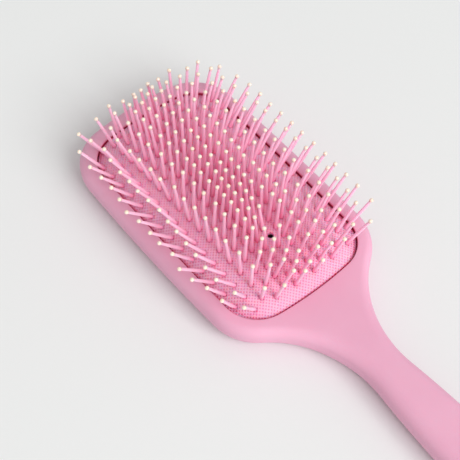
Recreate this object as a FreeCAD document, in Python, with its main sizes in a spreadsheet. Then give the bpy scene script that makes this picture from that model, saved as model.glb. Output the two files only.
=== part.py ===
import FreeCAD, Part
import math
import os
import Sketcher
from FreeCAD import Placement, Rotation, Vector

# Paddle hair brush lying on its back: +Z up (the way the pins point), +X from
# the head towards the end of the grip, the XZ plane is the plane of symmetry.
# Millimetres. Origin under the middle of the whole brush, on the surface it
# lies on.

doc = FreeCAD.newDocument("PaddleBrush")

# ------------------------------------------------------------ driving sizes
DIMS = [
    # alias, value, what it is
    ("head_x", 57.6, "pad centre lies this far before the origin, along -X"),
    # plan outline of the body, a chain of tangent arcs, measured from the pad centre
    ("head_end", 67.5, "pad centre to the free end of the head"),
    ("end_rad", 148.0, "radius of the head's free end"),
    ("corner_rad", 22.0, "radius of the head's free corners"),
    ("side_rad", 1200.0, "radius of the head's long sides"),
    ("side_x", 0.0, "centre of the long sides' arc, before the pad centre"),
    ("half_width", 40.65, "half width of the head at its widest"),
    ("shoulder_rad", 24.0, "radius of the shoulders, where the head turns in to the neck"),
    ("neck_rad", 50.0, "concave radius of the neck"),
    ("neck_x", 101.3, "pad centre to the narrowest place of the neck"),
    ("neck_half", 8.45, "half width of the neck there"),
    ("grip_rad", 500.0, "radius of the long swell of the grip"),
    ("grip_x", 158.0, "pad centre to the widest place of the grip"),
    ("tail_x", 182.7, "pad centre to the end of the grip"),
    # heights
    ("split_z", 10.5, "height of the joint between the two shells"),
    ("top_z", 15.2, "height of the front face"),
    ("top_round", 4.4, "edge radius of the front face"),
    ("back_round", 8.0, "edge radius of the back face"),
    ("wall", 2.6, "wall of the sides of the shells"),
    ("roof_z", 12.4, "inside of the front wall"),
    ("floor_z", 3.0, "inside of the back wall"),
    ("inside_round", 1.4, "inside corner radius of the shells"),
    ("mouth_round", 0.4, "radius of the lip around the pad"),
    ("cavity_x", 158.0, "pad centre to the end of the hollow in the grip"),
    ("hang_x", 171.0, "pad centre to the hanging hole"),
    ("hang_rad", 3.0, "radius of the hanging hole"),
    # pad outline, tangent arcs about the pad centre
    ("pad_half_len", 58.4, "half length of the pad"),
    ("pad_half_wid", 33.0, "half width of the pad"),
    ("pad_end_rad", 170.0, "radius of the pad's ends"),
    ("pad_corner_rad", 16.0, "radius of the pad's corners"),
    ("pad_side_rad", 2000.0, "radius of the pad's long sides"),
    ("mouth_gap", 0.6, "gap between the pad and the lip around it"),
    ("flange_out", 2.6, "how far the pad's flange reaches out past its skirt"),
    ("flange_thick", 1.5, "thickness of the pad's flange"),
    ("skin", 1.6, "thickness of the pad, measured vertically"),
    ("pad_edge_z", 14.0, "height of the pad's outer face at its edge"),
    ("dome_rise", 6.4, "rise of the dome from edge to middle"),
    ("dome_pow_x", 4.66, "exponent of the dome along the brush"),
    ("dome_pow_y", 4.35, "exponent of the dome across the brush"),
    ("frame_in", 1.5, "how far the clamp frame reaches in under the pad's edge"),
    ("vent_rad", 1.4, "radius of the air vent in the pad"),
    ("vent_x", 29.4, "pad centre to the air vent, along the brush"),
    ("vent_y", 0.8, "the same, across the brush"),
    # pins
    ("pin_len", 17.0, "pad surface to the centre of the ball end"),
    ("pin_base_rad", 0.80, "radius of a pin at the pad"),
    ("pin_end_rad", 0.56, "radius of a pin at its ball end"),
    ("pin_hole_play", 0.06, "radial play of a pin in its hole in the pad"),
    ("foot_rad", 1.25, "radius of a pin's foot under the pad"),
    ("foot_thick", 0.8, "thickness of that foot"),
    ("foot_depth", 2.45, "pad surface to the top of the foot"),
    ("ball_rad", 0.95, "radius of the ball ends"),
    ("row_step", 5.02, "distance between rows"),
    ("pitch_even", 6.70, "pin distance in rows of 16"),
    ("pitch_odd", 6.67, "pin distance in rows of 17"),
    ("pitch_close_even", 4.87, "pin distance in the close rows of 22"),
    ("pitch_close_odd", 4.86, "pin distance in the close rows of 23"),
    ("pitch_side", 6.42, "pin distance in the second row from each side"),
    ("pitch_edge", 6.95, "pin distance in the outermost rows of 14"),
    ("shift_even", 1.7, "rows of 16 stand this far before the pad centre"),
    ("shift_odd", 1.6, "rows of 17 stand this far before the pad centre"),
    ("shift_close_even", 1.45, "rows of 22, the same"),
    ("shift_close_odd", 1.3, "rows of 23, the same"),
    ("shift_side", 1.2, "the second rows from the sides, the same"),
    ("shift_edge", 1.15, "the outermost rows, the same"),
]
sheet = doc.addObject("Spreadsheet::Sheet", "Dims")
for line, (alias, value, note) in enumerate(DIMS, start=1):
    sheet.set("A%d" % line, note)
    sheet.set("B%d" % line, str(value))
    sheet.setAlias("B%d" % line, alias)
doc.recompute()


def dim(name):
    return float(sheet.get(name))


# ------------------------------------------------------------ plane geometry
def circles_meet(c1, r1, c2, r2, pick):
    """One of the two points at distance r1 from c1 and r2 from c2."""
    dx, dy = c2[0] - c1[0], c2[1] - c1[1]
    dist = math.hypot(dx, dy)
    along = (r1 * r1 - r2 * r2 + dist * dist) / (2.0 * dist)
    off = math.sqrt(max(r1 * r1 - along * along, 0.0))
    ux, uy = dx / dist, dy / dist
    both = [(c1[0] + along * ux - s * off * uy, c1[1] + along * uy + s * off * ux) for s in (1, -1)]
    return pick(both)


def touch(centre, other, radius, inner=True):
    """Where a circle touches another: beyond its own centre if it lies inside
    the other, towards the other if it lies outside."""
    dx, dy = centre[0] - other[0], centre[1] - other[1]
    dist = math.hypot(dx, dy)
    sign = 1.0 if inner else -1.0
    return (centre[0] + sign * radius * dx / dist, centre[1] + sign * radius * dy / dist)


def body_half(offset, cut_x=None):
    """Upper half of the body's plan outline, moved inwards by offset, from the
    free end of the head to the end of the grip: centres, radii and joints of
    its tangent arcs. cut_x ends it square across the grip instead."""
    head_end, tail = dim("head_end") - offset, dim("tail_x") - offset
    r1, r2, r3 = dim("end_rad") - offset, dim("corner_rad") - offset, dim("side_rad") - offset
    r4, r5, r6 = dim("shoulder_rad") - offset, dim("neck_rad") + offset, dim("grip_rad") - offset
    c1 = (-head_end + r1, 0.0)
    c3 = (-dim("side_x"), dim("half_width") - dim("side_rad"))
    c5 = (dim("neck_x"), dim("neck_half") + dim("neck_rad"))
    c2 = circles_meet(c1, r1 - r2, c3, r3 - r2, lambda both: max(both, key=lambda q: q[1] - q[0]))
    c4 = circles_meet(c3, r3 - r4, c5, r4 + r5, lambda both: max(both, key=lambda q: q[1]))
    c6 = (dim("grip_x"), c5[1] - math.sqrt((r5 + r6) ** 2 - (dim("grip_x") - c5[0]) ** 2))
    centres, radii = [c1, c2, c3, c4, c5, c6], [r1, r2, r3, r4, r5, r6]
    joints = [(-head_end, 0.0), touch(c2, c1, r2), touch(c2, c3, r2), touch(c4, c3, r4),
              touch(c4, c5, r4, False), touch(c5, c6, r5, False)]
    if cut_x is None:
        c7x = (c6[0] ** 2 + c6[1] ** 2 - (r6 - tail) ** 2) / (2.0 * (r6 - tail + c6[0]))
        c7, r7 = (c7x, 0.0), tail - c7x
        centres.append(c7)
        radii.append(r7)
        joints += [touch(c7, c6, r7), (tail, 0.0)]
    else:
        joints.append((cut_x, c6[1] + math.sqrt(r6 ** 2 - (cut_x - c6[0]) ** 2)))
    return centres, radii, joints


def pad_half(offset):
    """Upper half of the pad's plan outline, moved outwards by offset."""
    half_len = dim("pad_half_len") + offset
    r1, r2, r3 = dim("pad_end_rad") + offset, dim("pad_corner_rad") + offset, dim("pad_side_rad") + offset
    c1, c5 = (-half_len + r1, 0.0), (half_len - r1, 0.0)
    c3 = (0.0, dim("pad_half_wid") - dim("pad_side_rad"))
    c2 = circles_meet(c1, r1 - r2, c3, r3 - r2, lambda both: max(both, key=lambda q: q[1] - q[0]))
    c4 = (-c2[0], c2[1])
    t1, t2 = touch(c2, c1, r2), touch(c2, c3, r2)
    joints = [(-half_len, 0.0), t1, t2, (-t2[0], t2[1]), (-t1[0], t1[1]), (half_len, 0.0)]
    return [c1, c2, c3, c4, c5], [r1, r2, r3, r2, r1], joints


def closed_wire(half, height):
    """Full outline from its upper half, at a height."""
    centres, radii, joints = half
    edges = []
    for flip in (1.0, -1.0):
        for c, r, a, b in zip(centres, radii, joints[:-1], joints[1:]):
            am = math.atan2(a[1] - c[1], a[0] - c[0])
            bm = math.atan2(b[1] - c[1], b[0] - c[0])
            mid = 0.5 * (am + bm)
            pts = [Vector(q[0] - dim("head_x"), flip * q[1], height)
                   for q in (a, (c[0] + r * math.cos(mid), c[1] + r * math.sin(mid)), b)]
            edges.append(Part.Arc(*pts).toShape())
    return Part.Wire(Part.__sortEdges__(edges))


def prism(half, low, high):
    return Part.Face(closed_wire(half, low)).extrude(Vector(0, 0, high - low))


# ------------------------------------------------------------ sketches
def sketch_on_xy(body, name, height):
    """Empty sketch on the body's own XY plane, raised to a height and centred
    on the pad."""
    plane = [f for f in body.Origin.OriginFeatures if f.Role == "XY_Plane"][0]
    sk = body.newObject("Sketcher::SketchObject", name)
    sk.AttachmentSupport = [(plane, "")]
    sk.MapMode = "FlatFace"
    sk.AttachmentOffset = Placement(Vector(-dim("head_x"), 0, 0), Rotation())
    sk.setExpression("AttachmentOffset.Base.x", "-Dims.head_x")
    sk.setExpression("AttachmentOffset.Base.z", height)
    return sk


def add_arcs(sk, centres, radii, joints):
    """Draw a chain of arcs left to right. Arcs whose centre lies above the
    chain are concave and run the other way round. Returns, for each arc, its
    index and the names of its left and right ends."""
    ends = []
    for c, r, a, b in zip(centres, radii, joints[:-1], joints[1:]):
        left = math.atan2(a[1] - c[1], a[0] - c[0])
        right = math.atan2(b[1] - c[1], b[0] - c[0])
        circle = Part.Circle(Vector(c[0], c[1], 0), Vector(0, 0, 1), r)
        concave = c[1] > max(a[1], b[1])
        if concave:
            index = sk.addGeometry(Part.ArcOfCircle(circle, left, right), False)
            ends.append((index, 1, 2))
        else:
            index = sk.addGeometry(Part.ArcOfCircle(circle, right, left), False)
            ends.append((index, 2, 1))
    for (i, _, i_right), (j, j_left, _) in zip(ends[:-1], ends[1:]):
        sk.addConstraint(Sketcher.Constraint("Tangent", i, i_right, j, j_left))
    return ends


def drive(sk, name, kind, args, value, expression):
    """One driving dimension of a sketch, bound to the sheet."""
    number = sk.addConstraint(Sketcher.Constraint(kind, *args, value))
    sk.renameConstraint(number, name)
    sk.setExpression("Constraints." + name, expression)


def body_sketch(body, name, height, offset="0", cut=None):
    """Half plan outline of the body as a constrained sketch. offset is an
    expression of the sheet, the distance that the outline moves inwards."""
    o = 0.0 if offset == "0" else dim(offset.split(".")[1])
    cut_x = dim(cut) if cut else None
    sk = sketch_on_xy(body, name, height)
    centres, radii, joints = body_half(o, cut_x)
    ends = add_arcs(sk, centres, radii, joints)
    inward, outward = (" - " + offset, " + " + offset) if o else ("", "")
    head, corner, side, shoulder, neck, grip = [e[0] for e in ends[:6]]
    sk.addConstraint(Sketcher.Constraint("PointOnObject", head, 3, -1))
    sk.addConstraint(Sketcher.Constraint("PointOnObject", head, ends[0][1], -1))
    drive(sk, "head_end", "DistanceX", (head, ends[0][1], -1, 1), -joints[0][0], "Dims.head_end" + inward)
    for arc, key, sign, r in ((head, "end_rad", inward, radii[0]), (corner, "corner_rad", inward, radii[1]),
                              (side, "side_rad", inward, radii[2]), (shoulder, "shoulder_rad", inward, radii[3]),
                              (neck, "neck_rad", outward, radii[4]), (grip, "grip_rad", inward, radii[5])):
        drive(sk, key, "Radius", (arc,), r, "Dims." + key + sign)
    drive(sk, "side_x", "DistanceX", (side, 3, -1, 1), dim("side_x"), "Dims.side_x")
    drive(sk, "half_width", "DistanceY", (side, 3, -1, 1), -centres[2][1], "Dims.side_rad - Dims.half_width")
    drive(sk, "neck_x", "DistanceX", (-1, 1, neck, 3), dim("neck_x"), "Dims.neck_x")
    drive(sk, "neck_half", "DistanceY", (-1, 1, neck, 3), centres[4][1], "Dims.neck_half + Dims.neck_rad")
    drive(sk, "grip_x", "DistanceX", (-1, 1, grip, 3), dim("grip_x"), "Dims.grip_x")
    last, _, last_right = ends[-1]
    if cut_x is None:
        sk.addConstraint(Sketcher.Constraint("PointOnObject", last, 3, -1))
        sk.addConstraint(Sketcher.Constraint("PointOnObject", last, last_right, -1))
        drive(sk, "tail_x", "DistanceX", (-1, 1, last, last_right), joints[-1][0], "Dims.tail_x" + inward)
        floor = sk.addGeometry(Part.LineSegment(Vector(joints[-1][0], 0, 0), Vector(joints[0][0], 0, 0)), False)
        sk.addConstraint(Sketcher.Constraint("Coincident", last, last_right, floor, 1))
    else:
        drop = sk.addGeometry(Part.LineSegment(Vector(cut_x, joints[-1][1], 0), Vector(cut_x, 0, 0)), False)
        sk.addConstraint(Sketcher.Constraint("Coincident", last, last_right, drop, 1))
        sk.addConstraint(Sketcher.Constraint("Vertical", drop))
        sk.addConstraint(Sketcher.Constraint("PointOnObject", drop, 2, -1))
        drive(sk, "cut_x", "DistanceX", (-1, 1, drop, 2), cut_x, "Dims." + cut)
        floor = sk.addGeometry(Part.LineSegment(Vector(cut_x, 0, 0), Vector(joints[0][0], 0, 0)), False)
        sk.addConstraint(Sketcher.Constraint("Coincident", drop, 2, floor, 1))
    sk.addConstraint(Sketcher.Constraint("Coincident", floor, 2, head, ends[0][1]))
    return sk


def pad_sketch(body, name, height, offset):
    """Half plan outline of the pad as a constrained sketch, moved outwards by
    offset, an expression of the sheet with a leading sign."""
    sign = -1.0 if offset.strip().startswith("-") else 1.0
    o = sign * dim(offset.split(".")[1])
    sk = sketch_on_xy(body, name, height)
    centres, radii, joints = pad_half(o)
    ends = add_arcs(sk, centres, radii, joints)
    for number, (arc, key) in enumerate(((0, "pad_end_rad"), (1, "pad_corner_rad"), (2, "pad_side_rad"),
                                         (3, "pad_corner_rad"), (4, "pad_end_rad"))):
        drive(sk, "rad_%d" % number, "Radius", (ends[arc][0],), radii[arc], "Dims." + key + offset)
    for arc, point in ((0, ends[0][1]), (4, ends[4][2])):
        sk.addConstraint(Sketcher.Constraint("PointOnObject", ends[arc][0], 3, -1))
        sk.addConstraint(Sketcher.Constraint("PointOnObject", ends[arc][0], point, -1))
    drive(sk, "left_end", "DistanceX", (ends[0][0], ends[0][1], -1, 1), joints[-1][0], "Dims.pad_half_len" + offset)
    drive(sk, "right_end", "DistanceX", (-1, 1, ends[4][0], ends[4][2]), joints[-1][0], "Dims.pad_half_len" + offset)
    sk.addConstraint(Sketcher.Constraint("PointOnObject", ends[2][0], 3, -2))
    drive(sk, "half_wid", "DistanceY", (ends[2][0], 3, -1, 1), -centres[2][1], "Dims.pad_side_rad - Dims.pad_half_wid")
    floor = sk.addGeometry(Part.LineSegment(Vector(joints[-1][0], 0, 0), Vector(joints[0][0], 0, 0)), False)
    sk.addConstraint(Sketcher.Constraint("Coincident", ends[4][0], ends[4][2], floor, 1))
    sk.addConstraint(Sketcher.Constraint("Coincident", floor, 2, ends[0][0], ends[0][1]))
    return sk


def new_body(name):
    body = doc.addObject("PartDesign::Body", name)
    body.Label = name
    return body


def pad_up(body, sk, name, length):
    feature = body.newObject("PartDesign::Pad", name)
    feature.Profile = sk
    feature.setExpression("Length", length)
    doc.recompute()
    return feature


def pocket(body, sk, name, length, upwards):
    """Cut along the sketch's normal (upwards) or against it. The volume is
    compared, because a pocket that points away from the solid cuts nothing."""
    before = body.Shape.Volume
    feature = body.newObject("PartDesign::Pocket", name)
    feature.Profile = sk
    feature.setExpression("Length", length)
    feature.Reversed = upwards
    doc.recompute()
    if not body.Shape.Volume < before - 1.0:
        raise RuntimeError(name + " cuts nothing")
    return feature


def mirror(body, features, name):
    plane = [f for f in body.Origin.OriginFeatures if f.Role == "XZ_Plane"][0]
    feature = body.newObject("PartDesign::Mirrored", name)
    feature.Originals = features
    feature.MirrorPlane = (plane, [""])
    feature.Refine = True
    body.Tip = feature
    doc.recompute()
    return feature


def flat_edges(shape, height, inside=None):
    """Names of the edges that lie at a height, the hanging hole's left out.
    inside=True takes the loop around the pad only, inside=False the outer
    loop only."""
    mouth_face = Part.Face(closed_wire(pad_half(dim("mouth_gap") + 0.4), height))
    names = []
    for number, edge in enumerate(shape.Edges, start=1):
        box = edge.BoundBox
        if abs(box.ZMin - height) > 1e-4 or abs(box.ZMax - height) > 1e-4:
            continue
        mid = edge.valueAt(0.5 * (edge.FirstParameter + edge.LastParameter))
        if math.hypot(mid.x + dim("head_x") - dim("hang_x"), mid.y) < dim("hang_rad") + 0.5:
            continue
        in_mouth = mouth_face.isInside(Vector(mid.x, mid.y, height), 1e-3, True)
        if inside is None or inside == in_mouth:
            names.append("Edge%d" % number)
    return names


def fillet(body, base, names, radius, label):
    feature = body.newObject("PartDesign::Fillet", label)
    feature.Base = (base, names)
    feature.setExpression("Radius", radius)
    body.Tip = feature
    doc.recompute()
    return feature


def round_hole(body, name, height, x_expr, x_value, radius_expr, radius_value):
    """Sketch of one circle on the centre line."""
    sk = sketch_on_xy(body, name, height)
    sk.addGeometry(Part.Circle(Vector(x_value, 0, 0), Vector(0, 0, 1), radius_value), False)
    drive(sk, "radius", "Radius", (0,), radius_value, radius_expr)
    sk.addConstraint(Sketcher.Constraint("PointOnObject", 0, 3, -1))
    drive(sk, "place", "DistanceX", (-1, 1, 0, 3), x_value, x_expr)
    return sk


# ------------------------------------------------------------ front shell
# Head frame, neck and the front half of the grip. Open where the pad stands,
# hollow from behind.
front = new_body("front_shell")
outer = pad_up(front, body_sketch(front, "FrontOutline", "Dims.split_z"), "FrontPad", "Dims.top_z - Dims.split_z")
hollow = pocket(front, body_sketch(front, "FrontHollow", "Dims.split_z", "Dims.wall", "cavity_x"),
                "FrontCavity", "Dims.roof_z - Dims.split_z", True)
mouth = pocket(front, pad_sketch(front, "FrontMouth", "Dims.split_z", " + Dims.mouth_gap"),
               "FrontOpening", "Dims.top_z - Dims.split_z + 1", True)
both = mirror(front, [outer, hollow, mouth], "FrontMirror")
hang = pocket(front, round_hole(front, "FrontHang", "Dims.split_z", "Dims.hang_x", dim("hang_x"),
                                "Dims.hang_rad", dim("hang_rad")),
              "FrontHangHole", "Dims.top_z - Dims.split_z + 1", True)
step1 = fillet(front, hang, flat_edges(hang.Shape, dim("top_z"), False), "Dims.top_round", "FrontTopRound")
step2 = fillet(front, step1, flat_edges(step1.Shape, dim("top_z"), True), "Dims.mouth_round", "FrontMouthRound")

# ------------------------------------------------------------ back shell
back = new_body("back_shell")
outer = pad_up(back, body_sketch(back, "BackOutline", "0 mm"), "BackPad", "Dims.split_z")
hollow = pocket(back, body_sketch(back, "BackHollow", "Dims.floor_z", "Dims.wall", "cavity_x"),
                "BackCavity", "Dims.split_z - Dims.floor_z", True)
both = mirror(back, [outer, hollow], "BackMirror")
hang = pocket(back, round_hole(back, "BackHang", "0 mm", "Dims.hang_x", dim("hang_x"),
                               "Dims.hang_rad", dim("hang_rad")),
              "BackHangHole", "Dims.split_z + 1", True)
step1 = fillet(back, hang, flat_edges(hang.Shape, 0.0), "Dims.back_round", "BackRound")
step2 = fillet(back, step1, flat_edges(step1.Shape, dim("floor_z")), "Dims.inside_round", "BackInsideRound")

# ------------------------------------------------------------ clamp frame
# Ring on the back shell's floor that presses the pad's flange up against the
# inside of the front shell.
clamp = new_body("clamp_frame")
outer = pad_up(clamp, pad_sketch(clamp, "ClampOuter", "Dims.floor_z", " + Dims.flange_out"), "ClampPad",
               "Dims.roof_z - Dims.flange_thick - Dims.floor_z")
inner = pocket(clamp, pad_sketch(clamp, "ClampInner", "Dims.floor_z", " - Dims.frame_in"), "ClampOpening",
               "Dims.roof_z - Dims.floor_z", True)
both = mirror(clamp, [outer, inner], "ClampMirror")


# ------------------------------------------------------------ pins: where they stand
def dome(x, y):
    """Height of the pad's outer face, x and y from the pad centre."""
    return dim("pad_edge_z") + dim("dome_rise") * (
        1.0 - (abs(x) / dim("pad_half_len")) ** dim("dome_pow_x")
        - (abs(y) / dim("pad_half_wid")) ** dim("dome_pow_y"))


# How far each pin leans along and across the head, in hundredths of its height,
# row by row. The pins fan out towards the edges of the dome, and each sits in
# the rubber a degree or two its own way. (0, 0) in the middle row is the vent.
LEANS = [
    [(-28, -56), (-7, -68), (0, -66), (1, -65), (-1, -73), (-5, -88), (-3, -76), (1, -75), (-4, -76), (1, -68),
     (-1, -88), (1, -79), (2, -59), (9, -50)],
    [(-41, -57), (-27, -47), (-11, -38), (-12, -48), (-4, -53), (-5, -52), (-7, -54), (-6, -50), (-3, -46),
     (-3, -51), (-6, -53), (-4, -57), (-3, -60), (-1, -65), (2, -65), (20, -49), (22, -55)],
    [(-40, -22), (-18, -16), (-13, -28), (-2, -26), (-4, -25), (-2, -21), (-3, -21), (-1, -9), (1, -13),
     (-2, -9), (-2, -8), (-1, -9), (-2, -11), (3, -6), (10, -4), (28, -16)],
    [(-35, 0), (-38, -8), (-19, -5), (-8, -8), (-6, -10), (-1, -4), (1, -3), (-1, 2), (2, 3), (0, 3), (2, 6),
     (0, 3), (1, 1), (4, 2), (13, 3), (13, 1), (31, -4)],
    [(-34, 5), (-39, 8), (-33, 3), (-23, 0), (-18, -3), (-8, -1), (-4, 1), (1, 0), (4, 5), (2, 7), (1, 5),
     (5, 5), (3, 9), (2, 7), (0, 7), (-1, 4), (0, 2), (2, 0), (9, -1), (18, 0), (23, 6), (29, 7)],
    [(-22, 11), (-39, 6), (-36, 5), (-33, 5), (-27, 3), (-16, 5), (-9, 5), (-2, 4), (2, 5), (4, 4), (5, 5),
     (6, 6), (3, 3), (2, 2), (-1, 1), (-4, 1), (-4, -2), (-4, -7), (5, -9), (12, -9), (23, -5), (29, -3),
     (30, -1)],
    [(-35, 3), (-37, 6), (-36, 9), (-30, 11), (-20, 10), (-14, 12), (-2, 8), (-3, 8), (3, 4), (4, -2), (7, 2),
     (5, -3), (3, -3), (1, -2), (-3, -4), (-7, -7), (-7, -8), (0, 0), (7, -5), (17, -8), (27, -12), (34, -7)],
    [(-29, 1), (-38, 0), (-36, 8), (-32, 11), (-25, 13), (-17, 15), (-10, 13), (-7, 12), (-3, 6), (0, 6),
     (4, 4), (1, -1), (2, -3), (0, -7), (-3, -6), (-3, 3), (0, 10), (-3, 11), (10, 11), (12, 7), (22, 4),
     (31, 3), (34, -9)],
    [(-37, 1), (-39, 8), (-29, 15), (-26, 21), (-22, 21), (-14, 25), (-10, 16), (-7, 13), (-4, 12), (-1, 7),
     (0, 6), (-2, 0), (1, 4), (-2, 1), (-6, 4), (-1, 5), (-1, 9), (6, 14), (13, 14), (19, 12), (23, 8),
     (28, 6)],
    [(-33, 16), (-28, 18), (-22, 23), (-14, 30), (-9, 33), (-10, 31), (-3, 35), (-4, 21), (-3, 18), (-2, 14),
     (-2, 11), (-2, 15), (4, 16), (6, 16), (15, 13), (24, 13), (25, 10)],
    [(-23, 26), (-22, 31), (-11, 38), (-10, 43), (-4, 45), (-9, 46), (-4, 44), (0, 41), (-2, 40), (-2, 37),
     (-2, 33), (4, 41), (8, 37), (9, 30), (17, 23), (26, 25)],
    [(-32, 43), (-23, 52), (-10, 50), (-4, 57), (-8, 82), (-6, 80), (-9, 77), (-4, 76), (-8, 83), (-6, 77),
     (-5, 79), (-2, 79), (0, 81), (2, 71), (8, 63), (10, 50), (32, 47)],
    [(-23, 52), (-6, 73), (-8, 93), (-5, 93), (1, 83), (-3, 93), (-2, 93), (-2, 90), (1, 93), (4, 93), (4, 84),
     (4, 83), (4, 84), (17, 85)],
]


def pin_table():
    """Every pin: row, number, foot point, direction and how far it sinks for
    one unit of travel at the middle of the pad. Thirteen staggered rows, the
    five middle ones set closer than the four along each side."""
    table = []
    for row in range(13):
        side = min(row, 12 - row)
        if side == 0:
            count, pitch, shift = 14, dim("pitch_edge"), dim("shift_edge")
        elif side == 1:
            count, pitch, shift = 17, dim("pitch_side"), dim("shift_side")
        elif side == 2:
            count, pitch, shift = 16, dim("pitch_even"), dim("shift_even")
        elif side == 3:
            count, pitch, shift = 17, dim("pitch_odd"), dim("shift_odd")
        elif side == 5:
            count, pitch, shift = 23, dim("pitch_close_odd"), dim("shift_close_odd")
        else:
            count, pitch, shift = 22, dim("pitch_close_even"), dim("shift_close_even")
        y = (row - 6) * dim("row_step")
        for number in range(count):
            if row == 6 and number == 17:
                continue  # the air vent takes this place
            x = (number - 0.5 * (count - 1)) * pitch - shift
            lean_x, lean_y = (0.01 * part for part in LEANS[row][number])
            size = math.sqrt(lean_x ** 2 + lean_y ** 2 + 1.0)
            sink = (dome(x, y) - dim("pad_edge_z")) / dim("dome_rise")
            table.append((row, number, Vector(x - dim("head_x"), y, dome(x, y)),
                          Vector(lean_x / size, lean_y / size, 1.0 / size), sink))
    return table


PINS = pin_table()
ZONE_LIMITS = [0.95, 0.85, 0.70, 0.50, 0.28, 0.10, -9.0]  # zone 7 stands on the clamped edge and stays put


def zone_of(sink):
    for zone, limit in enumerate(ZONE_LIMITS, start=1):
        if sink >= limit:
            return zone


VENT = Vector(dim("vent_x") - dim("head_x"), dim("vent_y"), 15.0)


# ------------------------------------------------------------ cushion pad
def above_dome(drop):
    """Everything above the dome's surface, lowered by drop."""
    span_x, span_y, nx, ny = 64.0, 38.0, 41, 25
    grid = []
    for i in range(nx):
        x = -span_x + 2.0 * span_x * i / (nx - 1)
        grid.append([Vector(x - dim("head_x"), y, dome(x, y) - drop)
                     for y in [-span_y + 2.0 * span_y * j / (ny - 1) for j in range(ny)]])
    surface = Part.BSplineSurface()
    surface.interpolate(grid)
    return surface.toShape().extrude(Vector(0, 0, 40.0))


def make_pad():
    """Domed rubber skin with a skirt and an outward flange, one hole for each
    pin and one for air."""
    low = dim("roof_z") - dim("flange_thick")
    solid = prism(pad_half(0.0), low, 26.0).cut(above_dome(0.0))
    solid = solid.fuse(prism(pad_half(dim("flange_out")), low, dim("roof_z")))
    hollow = prism(pad_half(-dim("skin")), low - 1.0, 26.0).cut(above_dome(dim("skin")))
    solid = solid.cut(hollow).removeSplitter()
    radius = dim("pin_base_rad") + dim("pin_hole_play")
    drills = [Part.makeCylinder(radius, 5.2, foot - 3.4 * way, way) for _, _, foot, way, _ in PINS]
    drills.append(Part.makeCylinder(dim("vent_rad"), 8.0, VENT, Vector(0, 0, 1)))
    solid = solid.cut(drills)
    return solid


pad = doc.addObject("Part::Feature", "cushion_pad")
pad.Label = "cushion_pad"
pad.Shape = make_pad()
pad.Placement = Placement(Vector(0, 0, 0), Rotation())

# ------------------------------------------------------------ one pin, one ball end
# A pin is turned about its own axis: foot under the pad, shank tapering to
# the ball end. Zero is where it meets the pad's outer face.
pin_body = new_body("pin_master")
plane = [f for f in pin_body.Origin.OriginFeatures if f.Role == "XZ_Plane"][0]
sk = pin_body.newObject("Sketcher::SketchObject", "PinProfile")
sk.AttachmentSupport = [(plane, "")]
sk.MapMode = "FlatFace"
depth, thick, length = dim("foot_depth"), dim("foot_thick"), dim("pin_len")
corners = [(0, -depth - thick), (dim("foot_rad"), -depth - thick), (dim("foot_rad"), -depth),
           (dim("pin_base_rad"), -depth), (dim("pin_base_rad"), 0.4), (dim("pin_end_rad"), length), (0, length)]
for a, b in zip(corners, corners[1:] + corners[:1]):
    sk.addGeometry(Part.LineSegment(Vector(a[0], a[1], 0), Vector(b[0], b[1], 0)), False)
for i in range(7):
    sk.addConstraint(Sketcher.Constraint("Coincident", i, 2, (i + 1) % 7, 1))
for i in (0, 2, 5):
    sk.addConstraint(Sketcher.Constraint("Horizontal", i))
for i in (1, 3, 6):
    sk.addConstraint(Sketcher.Constraint("Vertical", i))
sk.addConstraint(Sketcher.Constraint("PointOnObject", 0, 1, -2))
drive(sk, "foot_rad", "DistanceX", (0, 1, 0, 2), dim("foot_rad"), "Dims.foot_rad")
drive(sk, "foot_thick", "DistanceY", (1, 1, 1, 2), thick, "Dims.foot_thick")
drive(sk, "foot_depth", "DistanceY", (1, 2, -1, 1), depth, "Dims.foot_depth")
drive(sk, "base_rad", "DistanceX", (-1, 1, 3, 2), dim("pin_base_rad"), "Dims.pin_base_rad")
drive(sk, "straight", "DistanceY", (-1, 1, 3, 2), 0.4, "0.4 mm")
drive(sk, "end_rad", "DistanceX", (-1, 1, 4, 2), dim("pin_end_rad"), "Dims.pin_end_rad")
drive(sk, "length", "DistanceY", (-1, 1, 4, 2), length, "Dims.pin_len")
turn = pin_body.newObject("PartDesign::Revolution", "PinTurn")
turn.Profile = sk
turn.ReferenceAxis = (sk, ["V_Axis"])
turn.Angle = 360.0
doc.recompute()

# Ball of resin around the end of a pin, with the socket that the pin fills.
ball = doc.addObject("Part::Sphere", "ball_master")
ball.setExpression("Radius", "Dims.ball_rad")
ball.Placement = Placement(Vector(0, 0, length), Rotation())
ball.setExpression("Placement.Base.z", "Dims.pin_len")
end = doc.addObject("Part::Cut", "ball_end_master")
end.Base = ball
end.Tool = pin_body
doc.recompute()

PIN_SHAPE = pin_body.Shape.Solids[0].copy()
BALL_SHAPE = end.Shape.Solids[0].copy()


def set_out(shape, zone):
    """Copies of one shape at every pin place of a zone."""
    copies = []
    for _, _, foot, way, sink in PINS:
        if zone_of(sink) == zone:
            one = shape.copy()
            one.Placement = Placement(foot, Rotation(Vector(0, 0, 1), way)).multiply(one.Placement)
            copies.append(one)
    return copies


groups = []
for zone in range(1, 8):
    for name, shape in (("pins_zone_%d" % zone, PIN_SHAPE), ("tips_zone_%d" % zone, BALL_SHAPE)):
        group = doc.addObject("Part::Feature", name)
        group.Label = name
        group.Shape = Part.makeCompound(set_out(shape, zone))
        groups.append(group)

# ------------------------------------------------------------ check and write
doc.recompute()
parts = [front, back, clamp, pad] + groups
for obj in doc.Objects:
    bad = [s for s in obj.State if s in ("Invalid", "Error")]
    if bad:
        raise RuntimeError("%s is %s" % (obj.Label, bad))
for obj in parts:
    if obj.Shape.isNull() or not obj.Shape.isValid() or not obj.Shape.Solids:
        raise RuntimeError(obj.Label + " has no valid shape")

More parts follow.
